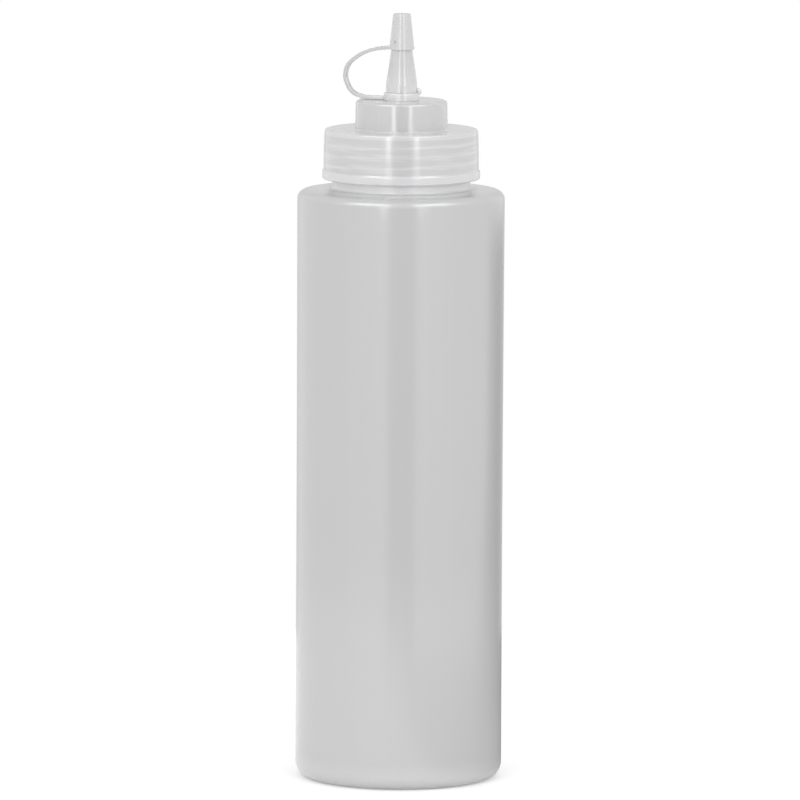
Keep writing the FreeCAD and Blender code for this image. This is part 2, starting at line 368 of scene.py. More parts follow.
def end_tree(tree, geometry, given):
    """Realizes what the tree made, gives it its material and puts it out."""
    real = add_node(tree, "GeometryNodeRealizeInstances", {"Geometry": geometry})
    painted = add_node(
        tree, "GeometryNodeSetMaterial", {"Geometry": real, "Material": given["Material"]})
    add_node(tree, "NodeGroupOutput", {"Geometry": painted})
    return tree


def faded(tree, level, ends):
    """A level that fades out by each value in turn, with where it is gone and where it is whole."""
    for value, gone, whole in ends:
        kept = add_node(tree, MAP_RANGE, {"Value": value, "From Min": gone, "From Max": whole}, **SMOOTH)
        level = add_node(tree, MATH, {0: level, 1: kept}, operation="MULTIPLY")
    return level


def from_axis(tree, place):
    """The level way from the Z axis out to a place, and its length."""
    outward = add_node(tree, VECTOR_MATH, {0: place, 1: (1, 1, 0)}, operation="MULTIPLY")
    return outward, add_node(tree, VECTOR_MATH, {0: outward}, operation="LENGTH")


def along_thread(tree, place, start, pitch):
    """How many turns a place lies round the axis, and how many pitches above the thread's start."""
    across = add_node(tree, SEPARATE, {0: place}).outputs
    bearing = add_node(tree, MATH, {0: across["Y"], 1: across["X"]}, operation="ARCTAN2")
    turn = add_node(tree, MATH, {0: bearing, 1: math.tau}, operation="DIVIDE")
    height = add_node(tree, MATH, {0: across["Z"], 1: start}, operation="SUBTRACT")
    return turn, add_node(tree, MATH, {0: height, 1: pitch}, operation="DIVIDE")


def turned_wall_tree():
    """Turns an outline, drawn as edges in the XZ plane, about Z into a closed wall."""
    tree, given = new_tree("Turned wall", (), {"Segments": "Int"})
    outline = given["Geometry"]
    size = add_node(tree, "GeometryNodeAttributeDomainSize", {"Geometry": outline})
    count = size.outputs["Point Count"]
    columns = add_node(tree, "FunctionNodeIntegerMath", {0: given["Segments"], 1: 1}, operation="ADD")
    grid = add_node(tree, "GeometryNodeMeshGrid", {"Vertices X": columns, "Vertices Y": count})
    index = add_node(tree, "GeometryNodeInputIndex")
    row = add_node(tree, "FunctionNodeIntegerMath", {0: index, 1: count}, operation="MODULO")
    column = add_node(tree, "FunctionNodeIntegerMath", {0: index, 1: count}, operation="DIVIDE_FLOOR")
    position = add_node(tree, "GeometryNodeInputPosition")
    corner = add_node(
        tree, "GeometryNodeSampleIndex", {"Geometry": outline, "Value": position, "Index": row},
        data_type="FLOAT_VECTOR")
    part_turn = add_node(tree, MATH, {0: column, 1: given["Segments"]}, operation="DIVIDE")
    turn = add_node(tree, MATH, {0: part_turn, 1: math.tau}, operation="MULTIPLY")
    spot = add_node(
        tree, "ShaderNodeVectorRotate", {"Vector": corner, "Angle": turn}, rotation_type="Z_AXIS")
    placed = add_node(tree, "GeometryNodeSetPosition", {"Geometry": grid, "Position": spot})
    closed = add_node(
        tree, "GeometryNodeMergeByDistance", {"Geometry": placed, "Distance": MERGE_DISTANCE})
    return end_tree(tree, closed, given)


def thread_tree():
    """Raises a right-handed helical ridge on the points of one round wall."""
    sizes = ("Wall Radius", "Depth", "Pitch", "Turns", "Start", "Root", "Crest")
    tree, given = new_tree("Thread ridge", sizes, {})
    position = add_node(tree, "GeometryNodeInputPosition")
    outward, radius = from_axis(tree, position)
    turn, height = along_thread(tree, position, given["Start"], given["Pitch"])
    turn = add_node(tree, MATH, {0: turn}, operation="FRACT")
    lag = add_node(tree, MATH, {0: height, 1: turn}, operation="SUBTRACT")
    nearest = add_node(tree, MATH, {0: lag}, operation="ROUND")
    off = add_node(tree, MATH, {0: lag, 1: nearest}, operation="SUBTRACT")
    off = add_node(tree, MATH, {0: off}, operation="ABSOLUTE")
    twice_pitch = add_node(tree, MATH, {0: given["Pitch"], 1: 2.0}, operation="MULTIPLY")
    width = add_node(tree, MATH, {0: off, 1: twice_pitch}, operation="MULTIPLY")
    along = add_node(tree, MATH, {0: nearest, 1: turn}, operation="ADD")
    left = add_node(tree, MATH, {0: given["Turns"], 1: along}, operation="SUBTRACT")
    rise = add_node(tree, MAP_RANGE, {
        "Value": width, "From Min": given["Crest"], "From Max": given["Root"],
        "To Min": given["Depth"], "To Max": 0.0}, **SMOOTH)
    rise = faded(tree, rise, [(along, 0.0, THREAD_FADE), (left, 0.0, THREAD_FADE)])
    direction = add_node(tree, VECTOR_MATH, {0: outward}, operation="NORMALIZE")
    offset = add_node(tree, VECTOR_MATH, {0: direction, "Scale": rise}, operation="SCALE")
    on_wall = add_node(
        tree, "FunctionNodeCompare", {"A": radius, "B": given["Wall Radius"], "Epsilon": WALL_TOLERANCE},
        operation="EQUAL")
    raised = add_node(
        tree, "GeometryNodeSetPosition",
        {"Geometry": given["Geometry"], "Selection": on_wall, "Offset": offset})
    return end_tree(tree, raised, given)


def strap_tree():
    """Runs a flat section with rounded edges along a path of edges."""
    tree, given = new_tree("Strap", ("Width", "Thickness", "Edge"), {"Flat Side": "Vector"})
    path = add_node(tree, "GeometryNodeMeshToCurve", {"Mesh": given["Geometry"]})
    level = add_node(
        tree, "GeometryNodeSetCurveNormal", {"Curve": path, "Normal": given["Flat Side"]}, mode="FREE")
    section = add_node(
        tree, "GeometryNodeCurvePrimitiveQuadrilateral",
        {"Width": given["Width"], "Height": given["Thickness"]}, mode="RECTANGLE")
    section = add_node(tree, "GeometryNodeFilletCurve", {
        "Curve": section, "Count": STRAP_EDGE_STEPS, "Radius": given["Edge"], "Limit Radius": True},
        mode="POLY")
    swept = add_node(
        tree, "GeometryNodeCurveToMesh", {"Curve": level, "Profile Curve": section, "Fill Caps": True})
    return end_tree(tree, swept, given)


def add_tree(piece, tree, **inputs):
    """Adds a tree to a piece as a modifier, and sets its inputs by their sockets' identifiers."""
    modifier = piece.modifiers.new(tree.name, "NODES")
    modifier.node_group = tree
    for name, value in inputs.items():
        modifier[tree.interface.items_tree[name.replace("_", " ").title()].identifier] = value


def apply_modifiers(piece):
    """Gives a piece the plain mesh that its modifiers make, and removes them."""
    evaluated = piece.evaluated_get(bpy.context.evaluated_depsgraph_get())
    plain = bpy.data.meshes.new_from_object(evaluated)
    piece.modifiers.clear()
    piece.data = plain
    return plain


def settle(piece):
    """Turns a piece's modifiers into a plain closed mesh of one material, with its faces outward and
    its crisp edges marked."""
    plain = apply_modifiers(piece)
    plain.name = piece.name
    material = plain.materials[-1]
    plain.materials.clear()
    plain.materials.append(material)
    mesh = bmesh.new()
    mesh.from_mesh(plain)
    if any(len(edge.link_faces) != 2 for edge in mesh.edges):
        raise ValueError(piece.name + " isn't a closed surface")
    bmesh.ops.recalc_face_normals(mesh, faces=mesh.faces)
    if mesh.calc_volume(signed=True) < 0:
        bmesh.ops.reverse_faces(mesh, faces=mesh.faces)
    mesh.to_mesh(plain)
    mesh.free()
    plain.shade_smooth()
    plain.set_sharp_from_angle(angle=SHARP_ANGLE)
    return piece


# Shapes

def link_object(name, data):
    """Object of that data, in the scene."""
    added = bpy.data.objects.new(name, data)
    bpy.context.scene.collection.objects.link(added)
    return added


def rounded(corners):
    """Points (x, z) along the corners (x, z, radius), with an arc of that radius at each corner."""
    points = []
    for i, (x, z, radius) in enumerate(corners):
        corner = Vector((x, z))
        if radius == 0:
            points.append(corner)
            continue
        back = (Vector(corners[i - 1][:2]) - corner).normalized()
        ahead = (Vector(corners[(i + 1) % len(corners)][:2]) - corner).normalized()
        half_angle = back.angle(ahead) / 2
        centre = corner + (back + ahead).normalized() * (radius / math.sin(half_angle))
        spoke = corner + back * (radius / math.tan(half_angle)) - centre
        turn = math.copysign(math.pi - 2 * half_angle, -back.cross(ahead))
        steps = max(2, math.ceil(abs(turn) / ARC_STEP))
        points += [centre + Matrix.Rotation(turn * step / steps, 2) @ spoke for step in range(steps + 1)]
    return points


def with_rows(points, radius, low, high, row_height):
    """The same outline, with more points on its upright run at that radius, between two heights."""
    divided = []
    for start, end in zip(points, points[1:]):
        divided.append(start)
        if abs(start.x - radius) < WALL_TOLERANCE and abs(end.x - radius) < WALL_TOLERANCE:
            bottom = max(low, min(start.y, end.y))
            top = min(high, max(start.y, end.y))
            rows = math.ceil((top - bottom) / row_height)
            if rows > 0:
                heights = [bottom + (top - bottom) * row / rows for row in range(rows + 1)]
                if end.y < start.y:
                    heights.reverse()
                divided += [Vector((radius, height)) for height in heights
                            if min(abs(height - start.y), abs(height - end.y)) > MERGE_DISTANCE]
    divided.append(points[-1])
    return divided


def edge_chain(name, points):
    """Object whose mesh is a chain of edges through the points."""
    mesh = bpy.data.meshes.new(name)
    mesh.from_pydata(points, [(i, i + 1) for i in range(len(points) - 1)], [])
    return link_object(name, mesh)


def turned(name, outline, segments, material):
    """Piece turned about Z from its outline of points (radius, height), with its tree as a modifier."""
    piece = edge_chain(name, [(point.x, 0, point.y) for point in outline])
    add_tree(piece, bpy.data.node_groups.get("Turned wall") or turned_wall_tree(),
             segments=segments, material=material)
    return piece


def threaded(name, outline, segments, material, thread, wall_radius, depth, start):
    """Turned piece with the thread's ridge raised on one of its walls, which gets the rows it needs."""
    end = start + thread.pitch * thread.turns
    outline = with_rows(outline, wall_radius, start - thread.root, end + thread.root, THREAD_ROW)
    piece = turned(name, outline, segments, material)
    add_tree(piece, bpy.data.node_groups.get("Thread ridge") or thread_tree(),
             wall_radius=wall_radius, depth=depth, pitch=thread.pitch, turns=thread.turns, start=start,
             root=thread.root, crest=thread.crest, material=material)
    return settle(piece)


def join_solids(piece, others, operation):
    """Fuses the other solids into a piece, or cuts them out of it, and removes them."""
    for other in others:
        modifier = piece.modifiers.new(other.name, "BOOLEAN")
        modifier.operation = operation
        modifier.solver = "EXACT"
        modifier.object = other
    apply_modifiers(piece)
    for other in others:
        bpy.data.objects.remove(other)


def show(piece, node):
    """Declares a finished piece to the frame: it stands for a CAD node and rides on the one body."""
    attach(piece, BODY)
    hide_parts(node)


def bottle_outline(size):
    """Wall of the bottle, from the axis over the outside, the neck's rim and the inside to the axis."""
    inner = size.body_radius - size.wall
    bore = size.neck_radius - size.neck_wall
    neck_foot = size.shoulder_height + SHOULDER_RISE
    points = rounded([
        (0, PUSH_UP, 0),
        (PUSH_UP_RADIUS, PUSH_UP, PUSH_UP_EDGE),
        (STANDING_RADIUS, 0, STANDING_EDGE),
        (size.body_radius, 0, BASE_CORNER),
        (size.body_radius, size.shoulder_height, size.shoulder_corner),
        (size.neck_radius, neck_foot, NECK_FILLET),
        (size.neck_radius, size.rim_height, MOULDED_EDGE),
        (bore, size.rim_height, MOULDED_EDGE),
        (bore, neck_foot - size.wall, NECK_FILLET + size.wall),
        (inner, size.shoulder_height - size.wall, size.shoulder_corner - size.wall),
        (inner, size.wall, BASE_CORNER - size.wall),
        (STANDING_RADIUS, size.wall, STANDING_EDGE),
        (PUSH_UP_RADIUS, PUSH_UP + size.wall, PUSH_UP_EDGE),
        (0, PUSH_UP + size.wall, 0)])
    row_height = size.shoulder_height / WAIST_ROWS
    for radius in (size.body_radius, inner):
        points = with_rows(points, radius, 0, size.shoulder_height, row_height)
    middle = size.shoulder_height / 2
    for point in points:
        if point.x > inner - WALL_TOLERANCE:
            point.x -= size.waist * max(0, 1 - ((point.y - middle) / middle) ** 2)
    return points


def screw_cap_outline(size, rim_height):
    """Wall of the screw cap: skirt, tier and nozzle outside, then back down the inside to the lip."""
    waist_radius = size.foot_radius - NOZZLE_FOOT_DRAFT
    run_in_top = size.skirt_bottom + LIP_HEIGHT + LIP_RUN_IN
    points = rounded([
        (size.skirt_bore, size.skirt_bottom, FINE_EDGE),
        (size.lip_radius, size.skirt_bottom, LIP_EDGE),
        (size.lip_radius, size.skirt_bottom + LIP_HEIGHT, MOULDED_EDGE),
        (size.skirt_radius + SKIRT_WIDENING, run_in_top, MOULDED_EDGE),
        (size.skirt_radius + SKIRT_CROWN, (run_in_top + size.skirt_top) / 2, SKIRT_CROWN_EASE),
        (size.skirt_radius, size.skirt_top, SKIRT_EDGE),
        (size.tier_radius + TIER_DRAFT, size.skirt_top, MOULDED_EDGE),
        (size.tier_radius, size.tier_top, TIER_EDGE),
        (size.foot_radius, size.tier_top, 0),
        (waist_radius, size.waist_height, NOZZLE_WAIST_EASE),
        (size.tip_radius, size.nozzle_top, FINE_EDGE),
        (SPOUT_RADIUS, size.nozzle_top, 0),
        (waist_radius - size.nozzle_wall, size.waist_height, NOZZLE_WAIST_EASE),
        (size.foot_radius - size.nozzle_wall, size.tier_top - size.wall, MOULDED_EDGE),
        (size.tier_radius - size.wall, size.tier_top - size.wall, MOULDED_EDGE),
        (size.tier_radius + TIER_DRAFT - size.wall, rim_height, MOULDED_EDGE),
        (size.skirt_bore, rim_height, 0)])
    return points + points[:1]


def tip_cap_outline(size, nozzle):
    """Wall of the tip cap, from its top down the outside and back up the bore."""
    cone_height = nozzle.nozzle_top - nozzle.waist_height
    slope = (nozzle.foot_radius - NOZZLE_FOOT_DRAFT - nozzle.tip_radius) / cone_height
    bore_top = nozzle.tip_radius + CAP_CLEARANCE
    bore_rim = bore_top + slope * (nozzle.nozzle_top - size.rim)
    bead_radius = size.radius_rim + CAP_BEAD
    return rounded([
        (0, size.top, 0),
        (size.radius_top, size.top, CAP_EDGE),
        (size.radius_rim, size.rim + CAP_BEAD_HEIGHT + CAP_BEAD_RUN_IN, 0),
        (bead_radius, size.rim + CAP_BEAD_HEIGHT, 0),
        (bead_radius, size.rim, FINE_EDGE),
        (bore_rim, size.rim, FINE_EDGE),
        (bore_top, nozzle.nozzle_top, 0),
        (0, nozzle.nozzle_top, 0)])


def ring_outline(tier_top):
    """Wall of the ring that holds the tether to the nozzle's foot."""
    points = rounded([
        (RING_BORE, tier_top, 0),
        (RING_RADIUS, tier_top, FINE_EDGE),
        (RING_RADIUS, tier_top + RING_HEIGHT, RING_EDGE),
        (RING_BORE, tier_top + RING_HEIGHT, 0)])
    return points + points[:1]


def strap(size, material):
    """The tether's flat strap, bent round its route in the loop's plane."""
    route = [(out * MM, height * MM) for out, height in TETHER_ROUTE]
    corners = [(*route[0], 0)]
    for before, here, after in zip(route, route[1:], route[2:]):
        back = Vector(before) - Vector(here)
        ahead = Vector(after) - Vector(here)
        half_turn = (math.pi - back.angle(ahead)) / 2
        corners.append((*here, BEND_SHARE * min(back.length, ahead.length) / math.tan(half_turn)))
    corners.append((*route[-1], 0))
    out = Vector((-math.cos(size.turn), math.sin(size.turn), 0))
    path = [out * point.x + Vector((0, 0, point.y)) for point in rounded(corners)]
    piece = edge_chain("tether_strap", path)
    add_tree(piece, strap_tree(), width=size.strap_width, thickness=size.strap_thickness, edge=FINE_EDGE,
             flat_side=out.cross(Vector((0, 0, 1))), material=material)
    return settle(piece)


def round_bar(name, radius, bar_length, matrix, edge=0.0):
    """Closed round bar along its own Z, with rounded ends, put in place by a matrix."""
    half = bar_length / 2
    points = rounded([(0, -half, 0), (radius, -half, edge), (radius, half, edge), (0, half, 0)])
    bar = settle(turned(name, points, BAR_SEGMENTS, None))
    bar.data.transform(matrix)
    return bar


# Plastics

def empty_tree(owner):
    """The node tree of a material or a world, with nothing in it."""
    owner.use_nodes = True
    owner.node_tree.nodes.clear()
    return owner.node_tree


def new_material(name, coordinates="Object"):
    """Material with an empty tree, and where a point lies on its piece."""
    material = bpy.data.materials.new(name)
    tree = empty_tree(material)
    return material, tree, add_node(tree, "ShaderNodeTexCoord").outputs[coordinates]


def end_plastic(tree, look, tint, pattern, change, bump):
    """Ends a plastic's tree in one shader, with its haze changed by a pattern. What is the same all over
    is set on the shader itself."""
    haze = add_node(tree, MAP_RANGE, {
        "Value": pattern, "To Min": look.roughness - change, "To Max": look.roughness + change})
    shader = add_node(tree, "ShaderNodeBsdfPrincipled", {
        "Base Color": tint, "Roughness": haze, "Normal": bump, "IOR": LDPE_IOR,
        "Transmission Weight": look.clarity, "Coat Weight": look.coat, "Coat Roughness": look.polish})
    add_node(tree, "ShaderNodeOutputMaterial", {"Surface": shader})


def blown_ldpe(look):
    """Natural low-density polyethylene, blow moulded: milky and satin, with a slowly wavy wall, faint
    upright streaks, a fine grain from the blasted mould, and a thin seam line down each side. The neck
    and the shoulder's top are paler, partly for their thicker wall and partly as painted light over the
    shade under the cap's lip, and the wall is painted paler towards the base as painted light."""
    material, tree, place = new_material("Blow-moulded natural LDPE")
    upright = add_node(tree, "ShaderNodeMapping", {"Vector": place, "Scale": (1, 1, STREAK_STRETCH)})
    streaks = add_node(tree, NOISE, {"Vector": upright, "Scale": 1 / STREAK_WIDTH, "Detail": 3.0})
    deep, pale = ((*[tone * channel for channel in look.colour], 1) for tone in STREAK_TONES)
    thin = add_node(tree, MIX, {"Factor": streaks, MIX_A: deep, MIX_B: pale}, data_type="RGBA")
    # painted light: paler neck and shoulder top, partly thicker wall and partly lifting the shade under the
    # cap's lip
    thick_and_painted_light = faded(tree, 1.0, [
        (from_axis(tree, place)[1], look.body_radius - SHOULDER_PAINTED_LIGHT_SHORT, look.neck_radius)])
    across = add_node(tree, SEPARATE, {0: place}).outputs
    # painted light: the wall is drawn paler towards the base
    for top, bottom, painted_light_share in LOW_WALL_PAINTED_LIGHT:
        low = faded(tree, painted_light_share, [(across["Z"], top, bottom)])
        thick_and_painted_light = add_node(tree, MATH, {0: thick_and_painted_light, 1: low}, operation="MAXIMUM")
    tint = add_node(
        tree, MIX, {"Factor": thick_and_painted_light, MIX_A: thin, MIX_B: (*look.thick_and_painted_light_colour, 1)}, data_type="RGBA")
    grain = add_node(tree, NOISE, {"Vector": place, "Scale": 1 / GRAIN_LENGTH, "Detail": 2.0})
    waves = add_node(tree, NOISE, {"Vector": place, "Scale": 1 / WAVE_LENGTH, "Detail": 1.0})
    off_seam = add_node(tree, MATH, {0: across["Y"]}, operation="ABSOLUTE")
    seam = faded(tree, 1.0, [(off_seam, SEAM_WIDTH, 0.0)])
    bump = add_node(tree, "ShaderNodeBump", {"Height": waves, "Distance": WAVE_HEIGHT})
    for relief, height in ((grain, GRAIN_HEIGHT), (seam, SEAM_HEIGHT)):
        bump = add_node(tree, "ShaderNodeBump", {"Height": relief, "Distance": height, "Normal": bump})
    end_plastic(tree, look, tint, grain, GRAIN_HAZE, bump)
    return material


def end_moulded_ldpe(tree, look, place, tint):
    """Ends the tree of natural low-density polyethylene, injection moulded: clearer than the bottle,
    with the polish of its mould and soft flow marks where the plastic filled it."""
    flow = add_node(tree, NOISE, {"Vector": place, "Scale": 1 / FLOW_LENGTH, "Detail": 2.0})
    bump = add_node(tree, "ShaderNodeBump", {"Height": flow, "Distance": FLOW_HEIGHT})
    end_plastic(tree, look, tint, flow, FLOW_HAZE, bump)


def on_ridge(tree, place, thread, start):
    """1 along the middle of a thread's ridge, and 0 half a pitch away from it and beyond its ends."""
    turn, rise = along_thread(tree, place, start, thread.pitch)
    lag = add_node(tree, MATH, {0: rise, 1: turn}, operation="SUBTRACT")
    off = add_node(tree, MATH, {0: lag, 1: 0.5}, operation="PINGPONG")
    stretch = (RIDGE_STREAK_STRETCH, RIDGE_STREAK_STRETCH, 1)
    level = add_node(tree, "ShaderNodeMapping", {"Vector": place, "Scale": stretch})
    streaks = add_node(tree, NOISE, {"Vector": level, "Scale": 1 / RIDGE_STREAK, "Detail": 1.0})
    streaks = add_node(tree, MATH, {0: streaks, 1: 0.5}, operation="SUBTRACT")
    off = add_node(tree, MATH, {0: streaks, 1: RIDGE_UNEVENNESS, 2: off}, operation="MULTIPLY_ADD")
    left = add_node(tree, MATH, {0: thread.turns, 1: rise}, operation="SUBTRACT")
    return faded(tree, 1.0, [
        (off, *RIDGE_MILKY_AND_PAINTED_LIGHT), (rise, -RIDGE_END, RIDGE_END), (left, -RIDGE_END, RIDGE_END)])


def screw_cap_ldpe(look, thread, start):
    """The screw cap's moulded plastic: milkier where it is thick, in the lip and along the thread's ridge,
    which are also painted light, with a painted highlight along the skirt's top corner and painted light
    at the nozzle's foot."""
    material, tree, place = new_material("Injection-moulded natural LDPE, screw cap")
    height = add_node(tree, SEPARATE, {0: place}).outputs["Z"]
    thick_and_painted_light = on_ridge(tree, place, thread, start)
    painted_light_bands = [       # lower and upper end of each paler band of painted light, and how far it fades below and above
        # the lip: a thick bead, and painted light over the shade under it
        (look.skirt_bottom, look.skirt_bottom + LIP_HEIGHT, MOULDED_EDGE, LIP_RUN_IN),
        # painted highlight on the skirt's rounded top edge
        (look.skirt_top - CORNER_HIGHLIGHT_DEPTH, look.skirt_top, CORNER_HIGHLIGHT_FADE, CORNER_HIGHLIGHT_FADE),
        # painted light at the nozzle's foot, as if lit from inside, fading up the nozzle
        (look.tier_top + MOULDED_EDGE, look.tier_top + RING_HEIGHT, MOULDED_EDGE, NOZZLE_PAINTED_LIGHT_FADE)]
    for low, high, below, above in painted_light_bands:
        painted_light_band = faded(tree, 1.0, [(height, low - below, low), (height, high + above, high)])
        thick_and_painted_light = add_node(tree, MATH, {0: thick_and_painted_light, 1: painted_light_band}, operation="MAXIMUM")
    thin = (*look.colour, 1)
    tint = add_node(
        tree, MIX, {"Factor": thick_and_painted_light, MIX_A: thin, MIX_B: (*look.thick_and_painted_light_colour, 1)}, data_type="RGBA")
    end_moulded_ldpe(tree, look, place, tint)
    return material


def tip_cap_ldpe(look, ring_middle):
    """The tip cap's moulded plastic: greyer in the thin strap, and milkier in the ring and the lug, whose
    paler colour fades along the strap as painted light over its shade.
    """
    material, tree, place = new_material("Injection-moulded natural LDPE, tip cap")
    from_ring = add_node(tree, VECTOR_MATH, {0: place, 1: ring_middle}, operation="DISTANCE")
    bead_radius = look.radius_rim + CAP_BEAD
    tint = (*look.colour, 1)
    for distance, start, end, next_colour in (
            (from_axis(tree, place)[1], bead_radius, bead_radius + MOULDED_EDGE, look.strap_colour),
            # ring and lug milky; their colour fading along the strap is painted light
            (from_ring, RING_RADIUS + RING_PAINTED_LIGHT_FADE, RING_RADIUS, look.thick_and_painted_light_colour)):
        near = faded(tree, 1.0, [(distance, start, end)])
        tint = add_node(
            tree, MIX, {"Factor": near, MIX_A: tint, MIX_B: (*next_colour, 1)}, data_type="RGBA")
    end_moulded_ldpe(tree, look, place, tint)
    return material


# Stage

def surround(look):
    """White surround with soft light high up, and with the gaps that only gloss shows."""
    world = bpy.data.worlds.new("Studio surround")
    bpy.context.scene.world = world
    tree = empty_tree(world)
    direction = add_node(tree, "ShaderNodeTexCoord").outputs["Generated"]
    across = add_node(tree, SEPARATE, {0: direction}).outputs
    towards_camera = add_node(tree, MATH, {0: across["Y"], 1: -1.0}, operation="MULTIPLY")
    azimuth = add_node(tree, MATH, {0: across["X"], 1: towards_camera}, operation="ARCTAN2")
    lit = 1.0
    for middle, half_width, edge, darkest in GAPS:
        off = add_node(tree, MATH, {0: azimuth, 1: math.radians(middle)}, operation="SUBTRACT")
        off = add_node(tree, MATH, {0: off, 1: -math.pi, 2: math.pi}, operation="WRAP")
        off = add_node(tree, MATH, {0: off}, operation="ABSOLUTE")
        inner, outer = math.radians(half_width - edge), math.radians(half_width + edge)
        seen = add_node(
            tree, MAP_RANGE, {"Value": off, "From Min": inner, "From Max": outer, "To Min": darkest},
            **SMOOTH)
        lit = add_node(tree, MATH, {0: lit, 1: seen}, operation="MULTIPLY")
    to_side = add_node(tree, MATH, {0: azimuth}, operation="ABSOLUTE")
    top_light = faded(tree, lit, [
        (across["Z"], TOP_LIGHT_LOW, TOP_LIGHT_LOW + TOP_LIGHT_EDGE),
        (across["Z"], TOP_LIGHT_HIGH, TOP_LIGHT_HIGH - TOP_LIGHT_EDGE),
        (to_side, math.radians(TOP_LIGHT_END), math.radians(TOP_LIGHT_END - TOP_LIGHT_END_EDGE))])
    least = faded(tree, GAP_LEVEL_ABOVE, [(across["Z"], GAP_TOP, 2 * GAP_TOP)])
    gloss = add_node(tree, MATH, {0: lit, 1: least}, operation="MAXIMUM")
    gloss = add_node(tree, MATH, {0: top_light, 1: look.top_brightness, 2: gloss}, operation="MULTIPLY_ADD")
    rays = add_node(tree, "ShaderNodeLightPath").outputs
    level = look.surround
    for ray, seen in (("Is Glossy Ray", gloss), ("Is Transmission Ray", 1.0), ("Is Camera Ray", 1.0)):
        level = add_node(tree, MIX, {"Factor": rays[ray], "A": level, "B": seen})
    background = add_node(tree, "ShaderNodeBackground", {"Color": (1, 1, 1, 1), "Strength": level})
    add_node(tree, "ShaderNodeOutputWorld", {"Surface": background})


def add_strip(azimuth, brightness):
    """Upright strip lamp facing the bottle; brightness 1 looks as bright as white paper."""
    data = bpy.data.lights.new("strip", "AREA")
    data.shape = "RECTANGLE"
    data.size = STRIP_WIDTH
    data.size_y = STRIP_HEIGHT
    data.energy = brightness * math.pi * STRIP_WIDTH * STRIP_HEIGHT
    light = link_object("strip", data)
    turn = math.radians(azimuth)
    light.location = (
        STRIP_DISTANCE * math.sin(turn), -STRIP_DISTANCE * math.cos(turn), STRIP_LOW + STRIP_HEIGHT / 2)
    light.rotation_euler = Euler((math.pi / 2, 0, turn))
    light.visible_camera = False


def sheet(name, mesh, material):
    """Object of the stage, from its mesh and its material."""
    data = bpy.data.meshes.new(name)
    mesh.to_mesh(data)
    mesh.free()
    data.materials.append(material)
    return link_object(name, data)


def floor_material(look):
    """Matt white board. The camera and gloss see it lifted to the surround's white, with its shadow.
    Gloss and refraction see a painted shadow on its right.
    """
    material, tree, place = new_material("Matt white board")
    rays = add_node(tree, "ShaderNodeLightPath").outputs
    right = add_node(tree, SEPARATE, {0: place}).outputs["X"]
    # painted shadow: gloss and refraction see the board darker on the right
    kept = add_node(tree, MAP_RANGE, {
        "Value": right, "From Min": FLOOR_SHADE_START, "From Max": FLOOR_SHADE_END,
        "To Min": 1.0, "To Max": FLOOR_SHADE}, **SMOOTH)
    for ray in ("Is Camera Ray", "Is Diffuse Ray"):
        kept = add_node(tree, MATH, {0: kept, 1: rays[ray]}, operation="MAXIMUM")
    board_colour = add_node(tree, VECTOR_MATH, {0: look.floor_colour, "Scale": kept}, operation="SCALE")
    board = add_node(tree, "ShaderNodeBsdfDiffuse", {"Color": board_colour})
    seen = rays["Is Camera Ray"]
    for ray in ("Is Glossy Ray", "Is Transmission Ray"):
        seen = add_node(tree, MATH, {0: seen, 1: rays[ray]}, operation="MAXIMUM")
    lift = add_node(tree, MATH, {0: seen, 1: FLOOR_LIFT}, operation="MULTIPLY")
    lift = add_node(tree, MATH, {0: lift, 1: kept}, operation="MULTIPLY")
    glow = add_node(tree, "ShaderNodeEmission", {"Strength": lift})
    both = add_node(tree, "ShaderNodeAddShader", {0: board, 1: glow})
    add_node(tree, "ShaderNodeOutputMaterial", {"Surface": both})
    return material


def add_floor(look):
    """Round board that the bottle stands on."""
    mesh = bmesh.new()
    bmesh.ops.create_circle(mesh, cap_ends=True, segments=FLOOR_SEGMENTS, radius=look.floor_radius)
    floor = sheet("floor", mesh, floor_material(look))


def felt_material():
    """Dark felt that fades out at its sides and its top. Only gloss shows it, and refraction doesn't.
    Its wide foot is painted shade for the bottle's own shadow on the floor.
    """
    material, tree, place = new_material("Dark felt", "Generated")
    across = add_node(tree, SEPARATE, {0: place}).outputs
    off = add_node(tree, MATH, {0: across["X"], 1: 0.5}, operation="SUBTRACT")
    off = add_node(tree, MATH, {0: off, 1: -FLAG_WIDTH}, operation="MULTIPLY")
    near, darkest = (
        add_node(tree, MAP_RANGE, {
            "Value": across["Z"], "From Max": FLAG_FOOT, "To Min": foot, "To Max": top}, **SMOOTH)
        for foot, top in (FLAG_NEAR, FLAG_DARKEST))
    dark = faded(tree, 1.0, [(off, near, darkest), (off, FLAG_FAR, 0.0), (across["Z"], 1.0, FLAG_TOP)])
    rays = add_node(tree, "ShaderNodeLightPath").outputs
    mirrored = add_node(
        tree, MATH, {0: rays["Is Glossy Ray"], 1: rays["Is Transmission Ray"]},
        operation="SUBTRACT", use_clamp=True)
    dark = add_node(tree, MATH, {0: dark, 1: mirrored}, operation="MULTIPLY")
    clear = add_node(tree, "ShaderNodeBsdfTransparent")
    felt = add_node(tree, "ShaderNodeBsdfDiffuse", {"Color": (*linear(FLAG_COLOUR), 1)})
    both = add_node(tree, "ShaderNodeMixShader", {0: dark, 1: clear, 2: felt})
    add_node(tree, "ShaderNodeOutputMaterial", {"Surface": both})
    return material


